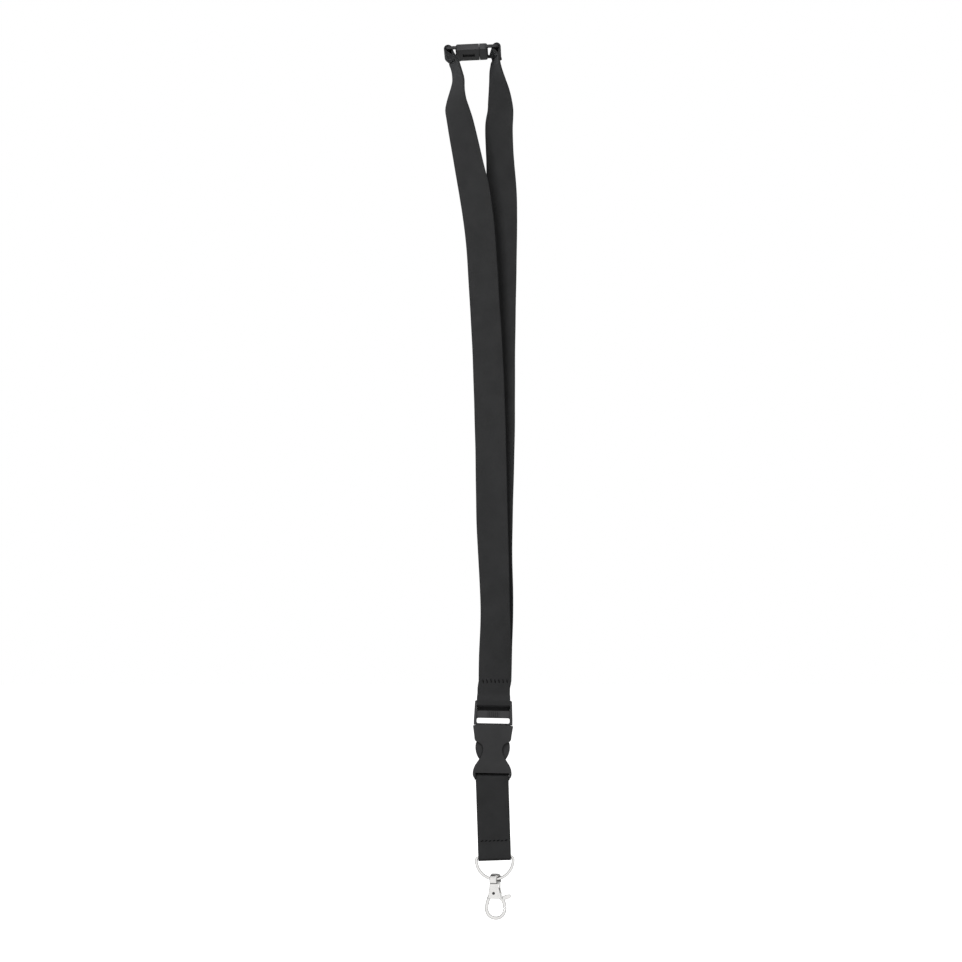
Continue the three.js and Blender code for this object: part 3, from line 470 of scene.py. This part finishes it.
def stitches(name, stations, at, side, material, pitch=2.3, slant=STITCH_SLANT, thread=0.25):
    """A row of lock stitches across the webbing at a distance along it, on one face.

    Slant is how far each stitch climbs along the strap, as a share of its pitch.
    """
    run = distances(stations)
    faces = faces_of(stations)
    i = min(range(len(run)), key=lambda k: abs(run[k] - at))
    middle, across = stations[i]
    face = faces[i] * side
    down = (stations[i + 1][0] - stations[i - 1][0]).normalized()
    half = STRAP_WIDTH / 2 - 1.4
    count = int(2 * half / pitch)
    mesh = bmesh.new()
    for n in range(count):
        step = 2 * half / count
        centre = -half + (n + 0.5) * step
        reach = 0.34 * math.sqrt(max(1 - slant * slant, 0.05)) * step
        wander = 0.12 * math.sin(n * 2.3)
        points, swell = [], []
        for k in range(9):
            u = k / 4 - 1
            lift = STRAP_THICK / 2 - 0.2 + 0.3 * (1 - u * u) ** 0.5
            climb = slant * pitch * 0.6 * u + wander
            p = middle + across * (centre + reach * u) + down * climb + face * lift
            points.append(p * MM)
            swell.append(thread * (0.7 + 0.3 * (1 - u * u)) * MM)
        tube(mesh, points, swell, 8)
    return from_bmesh(name, mesh, material)


def refined(node, name, width, material, segments=3, angle=33):
    """A moulded piece: the frame's solid with every sharp edge rounded off."""
    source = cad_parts[node].data
    mesh = bmesh.new()
    mesh.from_mesh(source)
    bmesh.ops.remove_doubles(mesh, verts=mesh.verts, dist=1e-6)
    bmesh.ops.dissolve_limit(
        mesh, angle_limit=math.radians(1.5), verts=mesh.verts, edges=mesh.edges
    )
    data = bpy.data.meshes.new(name)
    mesh.to_mesh(data)
    mesh.free()
    piece = mesh_object(name, data, material)
    bevel = piece.modifiers.new("rounded", "BEVEL")
    bevel.width = width * MM
    bevel.segments = segments
    bevel.limit_method = "ANGLE"
    bevel.angle_limit = math.radians(angle)
    weighted = piece.modifiers.new("flat_faces", "WEIGHTED_NORMAL")
    weighted.weight = 90
    weighted.keep_sharp = True
    applied(piece)
    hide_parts(node)
    return piece


def cast(node, name, voxel, steps, material):
    """A cast metal piece: the frame's solid on a fine even mesh, eased all over."""
    mesh = bmesh.new()
    mesh.from_mesh(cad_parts[node].data)
    bmesh.ops.remove_doubles(mesh, verts=mesh.verts, dist=1e-6)
    data = bpy.data.meshes.new(name)
    mesh.to_mesh(data)
    mesh.free()
    piece = mesh_object(name, data, material)
    remesh = piece.modifiers.new("even", "REMESH")
    remesh.mode = "VOXEL"
    remesh.voxel_size = voxel * MM
    ease = piece.modifiers.new("eased", "SMOOTH")
    ease.factor = 0.5
    ease.iterations = steps
    applied(piece)
    for polygon in piece.data.polygons:
        polygon.use_smooth = True
    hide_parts(node)
    return piece


# ---- materials ----
class Nodes:
    """Short calls for building a node material."""

    def __init__(self, name):
        self.material = bpy.data.materials.new(name)
        self.material.use_nodes = True
        self.tree = self.material.node_tree
        self.shader = self.tree.nodes["Principled BSDF"]

    def add(self, kind, **settings):
        node = self.tree.nodes.new(kind)
        for key, value in settings.items():
            setattr(node, key, value)
        return node

    def link(self, a, b):
        self.tree.links.new(a, b)

    def math(self, operation, a, b=None):
        node = self.add("ShaderNodeMath", operation=operation)
        for socket, value in zip(node.inputs, (a, b)):
            if value is None:
                continue
            if isinstance(value, (int, float)):
                socket.default_value = value
            else:
                self.link(value, socket)
        return node.outputs[0]

    def noise(self, scale, detail=3, vector=None):
        node = self.add("ShaderNodeTexNoise")
        node.inputs["Scale"].default_value = scale
        node.inputs["Detail"].default_value = detail
        self.link(vector or self.add("ShaderNodeTexCoord").outputs["Object"], node.inputs["Vector"])
        return node.outputs["Fac"]

    def ramp(self, factor, stops):
        node = self.add("ShaderNodeValToRGB")
        elements = node.color_ramp.elements
        while len(elements) < len(stops):
            elements.new(0.5)
        for element, (at, color) in zip(elements, stops):
            element.position = at
            element.color = (*color, 1)
        self.link(factor, node.inputs["Fac"])
        return node.outputs["Color"]

    def painted_crevice_shade(self, color, reach, darkest):
        """Painted shade: the colour darkened where other faces stand close by, as the shade in a crevice
        would darken it.
        """
        open_sky = self.add("ShaderNodeAmbientOcclusion", samples=8)
        open_sky.inputs["Distance"].default_value = reach * MM
        shade = self.add("ShaderNodeMapRange")
        for socket, value in {"From Min": 0.35, "From Max": 0.85, "To Min": darkest, "To Max": 1.0}.items():
            shade.inputs[socket].default_value = value
        self.link(open_sky.outputs["AO"], shade.inputs["Value"])
        mix = self.add("ShaderNodeMix", data_type="RGBA", blend_type="MULTIPLY")
        mix.inputs["Factor"].default_value = 1.0
        self.link(color, mix.inputs[6])
        self.link(shade.outputs["Result"], mix.inputs[7])
        return mix.outputs[2]

    def bump(self, height, distance, strength=1.0):
        node = self.add("ShaderNodeBump")
        node.inputs["Strength"].default_value = strength
        node.inputs["Distance"].default_value = distance
        self.link(height, node.inputs["Height"])
        self.link(node.outputs["Normal"], self.shader.inputs["Normal"])

    def set(self, **values):
        for name, value in values.items():
            self.shader.inputs[name.replace("_", " ")].default_value = value


WARP_PITCH = 0.62  # millimetres between the lengthwise cords of the weave
WEFT_PITCH = 0.5


def webbing_material(name, dark, light):
    m = Nodes(name)
    place = m.add("ShaderNodeUVMap", uv_map="cloth")
    split = m.add("ShaderNodeSeparateXYZ")
    m.link(place.outputs["UV"], split.inputs[0])
    across, along = split.outputs["X"], split.outputs["Y"]
    cords = m.math("MULTIPLY", across, 2 * math.pi / WARP_PITCH)
    picks = m.math("MULTIPLY", along, 2 * math.pi / WEFT_PITCH)
    # neighbouring cords go over and under by turns
    turn = m.math("MULTIPLY", m.math("SIGN", m.math("SINE", m.math("MULTIPLY", cords, 0.5))), math.pi / 2)
    over = m.math("SINE", m.math("ADD", picks, turn))
    round_cord = m.math("ABSOLUTE", m.math("SINE", m.math("MULTIPLY", cords, 0.5)))
    height = m.math("MULTIPLY", m.math("ADD", m.math("MULTIPLY", over, 0.5), 1.0), round_cord)
    cloudy = m.noise(90, 4)
    shade = m.math("ADD", m.math("MULTIPLY", height, 0.38), m.math("MULTIPLY", cloudy, 0.62))
    m.link(m.ramp(shade, [(0.2, dark), (0.8, light)]), m.shader.inputs["Base Color"])
    m.link(m.math("ADD", m.math("MULTIPLY", cloudy, 0.2), 0.7), m.shader.inputs["Roughness"])
    m.set(Sheen_Weight=0.12, Sheen_Roughness=0.45, Specular_IOR_Level=0.12)
    m.shader.inputs["Sheen Tint"].default_value = (0.75, 0.78, 0.82, 1)
    m.bump(height, 0.00006, 0.7)
    return m.material


def thread_material():
    m = Nodes("thread")
    fuzz = m.noise(2600, 2)
    dyed = m.ramp(fuzz, [(0.3, (0.002,) * 3), (0.75, (0.007, 0.007, 0.0075))])
    m.link(dyed, m.shader.inputs["Base Color"])
    m.set(Roughness=0.9, Specular_IOR_Level=0.03)
    m.bump(fuzz, 0.00005, 0.6)
    return m.material


def plastic_material():
    m = Nodes("moulded_plastic")
    grain = m.noise(1800, 3)
    cloudy = m.noise(140, 3)
    # sharp edges are mixed towards a lighter grey: partly edge wear, partly a painted highlight along the
    # rims
    edge_pointiness = m.add("ShaderNodeNewGeometry").outputs["Pointiness"]
    edges = m.ramp(edge_pointiness, [(0.49, (0.0,) * 3), (0.58, (1.0,) * 3)])
    base = m.ramp(cloudy, [(0.3, (0.014, 0.014, 0.0145)), (0.7, (0.022, 0.022, 0.0225))])
    mix = m.add("ShaderNodeMix", data_type="RGBA")
    m.link(m.math("MULTIPLY", edges, 0.5), mix.inputs["Factor"])
    m.link(base, mix.inputs[6])
    mix.inputs[7].default_value = (0.085, 0.085, 0.087, 1)
    # painted shade: the plastic's colour is darkened in its crevices, down to a tenth of itself
    m.link(m.painted_crevice_shade(mix.outputs[2], 2.2, 0.1), m.shader.inputs["Base Color"])
    m.link(m.math("ADD", m.math("MULTIPLY", grain, 0.16), 0.36), m.shader.inputs["Roughness"])
    m.set(Specular_IOR_Level=0.2)
    m.bump(grain, 0.00002, 0.5)
    return m.material


def pin_material():
    m = Nodes("pin_steel")
    fine = m.noise(2400, 2)
    steel = m.ramp(fine, [(0.3, (0.05, 0.05, 0.052)), (0.7, (0.1, 0.1, 0.103))])
    m.link(steel, m.shader.inputs["Base Color"])
    m.set(Metallic=1.0, Roughness=0.35)
    m.bump(fine, 0.00003, 0.4)
    return m.material


def metal_material():
    m = Nodes("plated_metal")
    cloudy = m.noise(260, 4)
    fine = m.noise(2400, 2)
    plate = m.ramp(cloudy, [(0.3, (0.86, 0.85, 0.835)), (0.7, (0.95, 0.94, 0.925))])
    # painted shade: the plating's colour is darkened in its crevices and hollows
    m.link(m.painted_crevice_shade(plate, 1.0, 0.14), m.shader.inputs["Base Color"])
    m.link(m.math("ADD", m.math("MULTIPLY", fine, 0.12), 0.1), m.shader.inputs["Roughness"])
    m.set(Metallic=1.0)
    m.bump(cloudy, 0.00003, 0.4)
    return m.material


WEBBING_DARK = (0.0205, 0.0207, 0.0211)
WEBBING_LIGHT = (0.0395, 0.0398, 0.0405)
WEBBING = webbing_material("webbing", WEBBING_DARK, WEBBING_LIGHT)
THREAD = thread_material()
PLASTIC = plastic_material()
METAL = metal_material()
PIN_STEEL = pin_material()

# ---- neck straps ----
left_bar = clasp_frame @ Vector((LEFT_BAR, 0, 0))
right_bar = clasp_frame @ Vector((RIGHT_BAR, 0, 0))
front_fold, front_leg = leg(left_bar, FRONT_ROUTE, FLAP_LEFT)
back_fold, back_leg = leg(right_bar, BACK_ROUTE, FLAP_RIGHT, SLACK_RIGHT, SKEW_RIGHT)
front_stations = front_leg + along_loop(LOOP_FRONT, 6)
back_stations = back_leg + list(reversed(along_loop(LOOP_BACK, 6)))


def seam_on_fold(fold):
    """The distance along the strap of the clasp's thread row, on the layer that goes on into the leg."""
    run = distances(fold)
    return run[-1] - FOLD_SEAM


front_seam = seam_on_fold(front_fold)
back_seam = seam_on_fold(back_fold)
buckle_seam = distances(front_leg)[-1]

front_run = distances(front_stations)
in_slot = [
    run_near(front_stations, front_run, buckle_frame @ Vector((0, y, z)), buckle_seam)
    for y, z in ((-BAR_FRONT, FRAME_TOP - 1), (-0.3, BAR_FOOT - 1), (2.1, BAR_FOOT - 3.2))
]
front = webbing("webbing_front", front_stations, [FOLD_SEAM, front_seam, buckle_seam], WEBBING, in_slot)
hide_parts("neck_strap_front")
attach(front, "neck_straps")

back = webbing("webbing_back", back_stations, [FOLD_SEAM, back_seam, distances(back_leg)[-1]], WEBBING)
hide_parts("neck_strap_back")

rows = {
    "stitches_clasp_left": ("stitch_row_clasp_left", front_stations, front_seam, 1, "neck_straps"),
    "stitches_clasp_right": ("stitch_row_clasp_right", back_stations, back_seam, 1, "clasp_male"),
    "stitches_buckle": ("stitch_row_buckle", front_stations, buckle_seam, 1, "neck_straps"),
}
for name, (node, stations, at, side, body) in rows.items():
    slant = BUCKLE_STITCH_SLANT if name == "stitches_buckle" else STITCH_SLANT
    piece = stitches(name, stations, at, side, THREAD, slant=slant)
    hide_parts(node)
    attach(piece, body)

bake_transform(back)

# ---- tail strap ----
tail_line = tail_stations()
tail_run = distances(tail_line)

seam_front = run_near(tail_line, tail_run, tail_frame @ Vector((0, -LAYER_STEP, SEAM_Z)), 12)
bar_top = run_near(tail_line, tail_run, tail_frame @ Vector((0, 0, END_WRAP)), 12)
tail = webbing("webbing_tail", tail_line, [TAIL_OVERLAP, seam_front], WEBBING, [bar_top])
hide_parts("tail_strap")
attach(tail, "buckle_female")
tail_stitches = stitches("stitches_tail", tail_line, seam_front, -1, THREAD)
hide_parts("stitch_row_tail")
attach(tail_stitches, "buckle_female")

# ---- moulded fittings ----
MOULDED = {
    "clasp_female": ("clasp_female_housing", 0.22, "neck_straps"),
    "clasp_male": ("clasp_male_plug", 0.22, "clasp_male"),
    "clasp_tongue": ("clasp_latch_tongue", 0.2, "clasp_male"),
    "buckle_frame": ("buckle_male_frame", 0.2, "neck_straps"),
    "buckle_arm_left": ("buckle_latch_arm_left", 0.35, "latch_left"),
    "buckle_arm_right": ("buckle_latch_arm_right", 0.35, "latch_right"),
    "buckle_female_shell": ("buckle_female_housing", 0.3, "buckle_female"),
}
for name, (node, width, body) in MOULDED.items():
    piece = refined(node, name, width, PLASTIC)
    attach(piece, body)

# ---- metal ----
CORNER = 1.6


def ring_path(count):
    """The D-ring's middle line, in its own frame: the bar, a corner, the bow and the other corner."""
    half = (RING_OUTER - RING_WIRE) / 2
    bar = half - CORNER
    lengths = [2 * bar, math.pi / 2 * CORNER, math.pi * half, math.pi / 2 * CORNER]
    points = []
    for i in range(count):
        s = i / count * sum(lengths)
        if s <= lengths[0]:
            points.append((-bar + s, 0, 0))
            continue
        s -= lengths[0]
        if s <= lengths[1]:
            a = s / CORNER
            points.append((bar + CORNER * math.sin(a), 0, -CORNER + CORNER * math.cos(a)))
            continue
        s -= lengths[1]
        if s <= lengths[2]:
            a = s / half
            points.append((half * math.cos(a), 0, -CORNER - (RING_DROP - CORNER) * math.sin(a)))
            continue
        a = (s - lengths[2]) / CORNER
        points.append((-half + CORNER * (1 - math.cos(a)), 0, -CORNER + CORNER * math.sin(a)))
    return [(ring_frame @ Vector(p)) * MM for p in points]


ring_mesh = bmesh.new()
tube(ring_mesh, ring_path(180), RING_WIRE / 2 * MM, 20, closed=True)
ring = from_bmesh("ring_wire", ring_mesh, METAL)
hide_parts("d_ring")
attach(ring, "d_ring")

CAST = {
    "eye_casting": ("swivel_eye", 0.13, 6, "eye"),
    "hook_casting": ("hook_body", 0.13, 6, "hook"),
    "gate_casting": ("hook_gate", 0.12, 5, "gate"),
}
for name, (node, voxel, steps, body) in CAST.items():
    piece = cast(node, name, voxel, steps, METAL)
    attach(piece, body)
pin = refined("gate_pin", "pin_rivet", 0.15, PIN_STEEL)
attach(pin, "hook")

low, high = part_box("gate_spring")
SPRING_WIRE = 0.28
SPRING_TURNS = 4
spring_points = []
for i in range(SPRING_TURNS * 20 + 1):
    u = i / (SPRING_TURNS * 20)
    a = 2 * math.pi * SPRING_TURNS * u
    radius = (high.y - low.y) / 2 - SPRING_WIRE / 2 * MM
    x = low.x + SPRING_WIRE / 2 * MM + (high.x - low.x - SPRING_WIRE * MM) * u
    centre = (low.z + high.z) / 2
    spring_points.append(Vector((x, radius * math.cos(a), centre + radius * math.sin(a))))
spring_mesh = bmesh.new()
tube(spring_mesh, spring_points, SPRING_WIRE / 2 * MM, 10)
spring = from_bmesh("spring_coil", spring_mesh, METAL)
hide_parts("gate_spring")
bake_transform(spring)

# ---- floor, lights and world ----
FLOOR_Z = -0.62
floor_mesh = bmesh.new()
bmesh.ops.create_grid(floor_mesh, x_segments=8, y_segments=8, size=6)
floor_material = Nodes("pale_floor")
pale = floor_material.noise(3, 2)
floor_material.link(
    floor_material.ramp(pale, [(0.3, (0.86, 0.86, 0.86)), (0.7, (0.9, 0.9, 0.9))]),
    floor_material.shader.inputs["Base Color"],
)
floor_material.set(Roughness=0.9)
floor_material.shader.inputs["Emission Color"].default_value = (1, 1, 1, 1)
floor_material.shader.inputs["Emission Strength"].default_value = 1.0
floor = from_bmesh("floor", floor_mesh, floor_material.material)
floor.location.z = FLOOR_Z
floor.visible_diffuse = False
floor.visible_glossy = False


def softbox(name, place, aim, width, height, power):
    light = bpy.data.lights.new(name, "AREA")
    light.shape = "RECTANGLE"
    light.size, light.size_y = width, height
    light.energy = power
    lamp = bpy.data.objects.new(name, light)
    lamp.location = place
    lamp.rotation_euler = (Vector(aim) - Vector(place)).to_track_quat("-Z", "Y").to_euler()
    lamp.visible_camera = False
    lamp.visible_glossy = False
    bpy.context.collection.objects.link(lamp)


MIDDLE = (0, 0, -0.22)
softbox("key", (-0.7, -1.3, 0.85), (0, 0, -0.1), 0.8, 0.8, 24)
softbox("front", (0.6, -2.3, 0.3), MIDDLE, 0.9, 1.2, 10)
softbox("right", (1.7, -0.6, 0.3), MIDDLE, 0.6, 1.2, 5)
softbox("left", (-1.8, -0.4, 0.3), MIDDLE, 0.6, 1.2, 5)
softbox("back", (0.5, 2.3, 0.5), MIDDLE, 0.9, 1.2, 9)

world = bpy.data.worlds.new("studio")
bpy.context.scene.world = world
world.use_nodes = True
tree = world.node_tree
tree.nodes.clear()
output = tree.nodes.new("ShaderNodeOutputWorld")


def backdrop(strength):
    """One look of the world: an even grey or white of its own strength."""
    node = tree.nodes.new("ShaderNodeBackground")
    node.inputs["Color"].default_value = (1, 1, 1, 1)
    node.inputs["Strength"].default_value = strength
    return node


def either(flag, low, high):
    mix = tree.nodes.new("ShaderNodeMixShader")
    tree.links.new(path.outputs[flag], mix.inputs["Fac"])
    tree.links.new(low, mix.inputs[1])
    tree.links.new(high, mix.inputs[2])
    return mix.outputs[0]


path = tree.nodes.new("ShaderNodeLightPath")
# what the metal reflects: white on the viewer's side and grey behind, which darkens its outlines
mirrored = backdrop(1.0)
way = tree.nodes.new("ShaderNodeTexCoord")
axes = tree.nodes.new("ShaderNodeSeparateXYZ")
tree.links.new(way.outputs["Generated"], axes.inputs[0])
depth = tree.nodes.new("ShaderNodeMapRange")
for socket, value in {"From Min": -0.55, "From Max": 0.45, "To Min": 0.9, "To Max": 0.28}.items():
    depth.inputs[socket].default_value = value
tree.links.new(axes.outputs["Y"], depth.inputs["Value"])
tree.links.new(depth.outputs["Result"], mirrored.inputs["Strength"])
shaded = either("Is Glossy Ray", backdrop(0.22).outputs[0], mirrored.outputs[0])
tree.links.new(either("Is Camera Ray", shaded, backdrop(1.0).outputs[0]), output.inputs["Surface"])

bpy.context.scene.view_settings.view_transform = "Standard"
